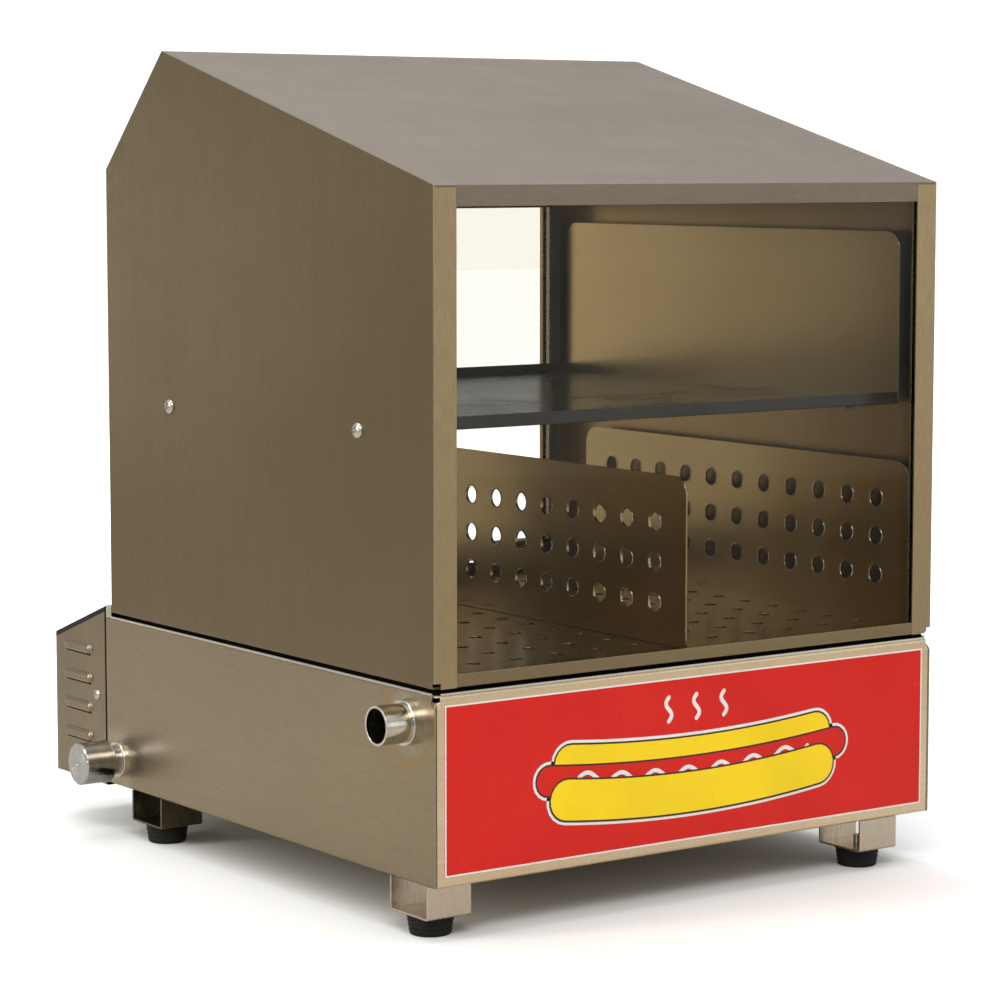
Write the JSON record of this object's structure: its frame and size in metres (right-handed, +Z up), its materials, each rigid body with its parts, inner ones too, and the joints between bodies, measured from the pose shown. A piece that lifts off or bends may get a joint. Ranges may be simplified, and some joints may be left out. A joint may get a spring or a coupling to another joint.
{
  "type": "hot dog steamer",
  "caption": "Countertop steel food steamer: glass-fronted cabinet with sloped roof, bun tray over perforated trays, heated water base, rear glass door, fill and drain pipes.",
  "frame": {"origin": "centre of the bounding box at the height of the surface it stands on", "axes": "+X to the right seen from the front, +Y rearwards (the glass front faces -Y), +Z up"},
  "size_m": [0.4286, 0.4952, 0.5318],
  "materials": {
    "base_steel": "brushed, satin",
    "cabinet_steel": "brushed, satin",
    "roof_steel": "brushed, smudged",
    "tray_steel": "satin sheet",
    "turned_steel": "turned",
    "leg_steel": "bright folded sheet",
    "screw_steel": "bright",
    "coated_tray": "dark baked coating",
    "clear_glass": "clear tempered",
    "red_decal": "printed vinyl",
    "black_rubber": "matte",
    "grey_silicone": "matte",
    "heater_sheath": "heat tinted",
    "black_plastic": "fine texture",
    "lamp_amber": "translucent",
    "dial_face": "printed plate",
    "black_enamel": "semi gloss",
    "phenolic": "moulded",
    "magnet_ferrite": "dull"
  },
  "bodies": {
    "housing": {"base_front_panel": "base_steel", "base_left_panel": "base_steel", "base_right_panel": "base_steel", "base_rear_panel": "base_steel", "base_bottom_plate": "base_steel", "rear_locating_bar": "base_steel", "front_decal": "red_decal", "leg_front_left": "leg_steel", "leg_front_right": "leg_steel", "leg_rear_left": "leg_steel", "leg_rear_right": "leg_steel", "rubber_feet": "black_rubber", "foot_screws": "screw_steel", "seam_gasket": "grey_silicone", "water_tank": "tray_steel", "heating_element": "heater_sheath", "element_flange": "turned_steel", "fill_pipe": "turned_steel", "fill_collar": "turned_steel", "drain_pipe": "turned_steel", "drain_weld_ring": "turned_steel", "cabinet_left_side": "cabinet_steel", "cabinet_right_side": "cabinet_steel", "roof_panel": "roof_steel", "front_bottom_rail": "base_steel", "rear_bottom_rail": "base_steel", "front_glass": "clear_glass", "glass_tape": "grey_silicone", "glass_stops": "tray_steel", "shelf_pegs": "screw_steel", "shelf_nuts": "screw_steel", "door_pivot_brackets": "turned_steel", "catch_magnet": "magnet_ferrite", "control_box_cover": "base_steel", "control_box_lid": "black_enamel", "control_box_seal": "black_rubber", "control_box_screws": "screw_steel", "thermostat_body": "phenolic", "dial_plate": "dial_face", "power_switch_body": "black_plastic", "pilot_lamp": "lamp_amber", "cord_gland": "black_plastic", "terminal_block": "phenolic", "thermostat_bulb": "turned_steel", "bulb_gland": "turned_steel"},
    "rear_door": {"door_frame": "base_steel", "door_glass": "clear_glass", "door_gasket": "grey_silicone", "catch_plate": "screw_steel", "door_handle": "turned_steel", "door_handle_washers": "screw_steel"},
    "bun_tray": {"bun_tray_floor": "coated_tray", "bun_tray_sides": "tray_steel"},
    "hot_dog_tray": {"hot_dog_tray_floor": "tray_steel", "hot_dog_tray_sides": "tray_steel"},
    "tray_divider": {"tray_divider": "tray_steel"},
    "thermostat_knob": {"thermostat_knob": "black_plastic"},
    "power_rocker": {"power_rocker": "black_plastic"},
    "drain_seal": {"drain_cap_seal": "black_rubber"},
    "drain_cap": {"drain_cap": "turned_steel"}
  },
  "joints": [
    {"name": "rear_door_swing", "type": "hinge", "parent": "housing", "child": "rear_door", "pos_m": [0.20035, 0.15256, 0.3], "axis": [0, 0, -1], "range_deg": [0, 110]},
    {"name": "bun_tray_lift", "type": "slide", "parent": "housing", "child": "bun_tray", "axis": [0, 0, 1], "range_m": [0, 0.022]},
    {"name": "hot_dog_tray_lift", "type": "slide", "parent": "housing", "child": "hot_dog_tray", "axis": [0, 0, 1], "range_m": [0, 0.018]},
    {"name": "divider_lift", "type": "slide", "parent": "hot_dog_tray", "child": "tray_divider", "axis": [0, 0, 1], "range_m": [0, 0.015]},
    {"name": "thermostat_turn", "type": "hinge", "parent": "housing", "child": "thermostat_knob", "pos_m": [0.08585, 0.2266, 0.08075], "axis": [0, -1, 0], "range_deg": [0, 300]},
    {"name": "power_rock", "type": "hinge", "parent": "housing", "child": "power_rocker", "pos_m": [0.01585, 0.2246, 0.08075], "axis": [1, 0, 0], "range_deg": [0, 16]},
    {"name": "drain_cap_travel", "type": "slide", "parent": "housing", "child": "drain_seal", "axis": [-1, 0, 0], "range_m": [0, 0.0146]},
    {"name": "drain_cap_turn", "type": "hinge", "parent": "drain_seal", "child": "drain_cap", "pos_m": [-0.20415, 0.1366, 0.052], "axis": [-1, 0, 0], "range_deg": [0, 2880]}
  ],
  "couplings": [
    {"joint": "drain_cap_travel", "follows": "drain_cap_turn", "m_per_rad": 0.00028873}
  ]
}
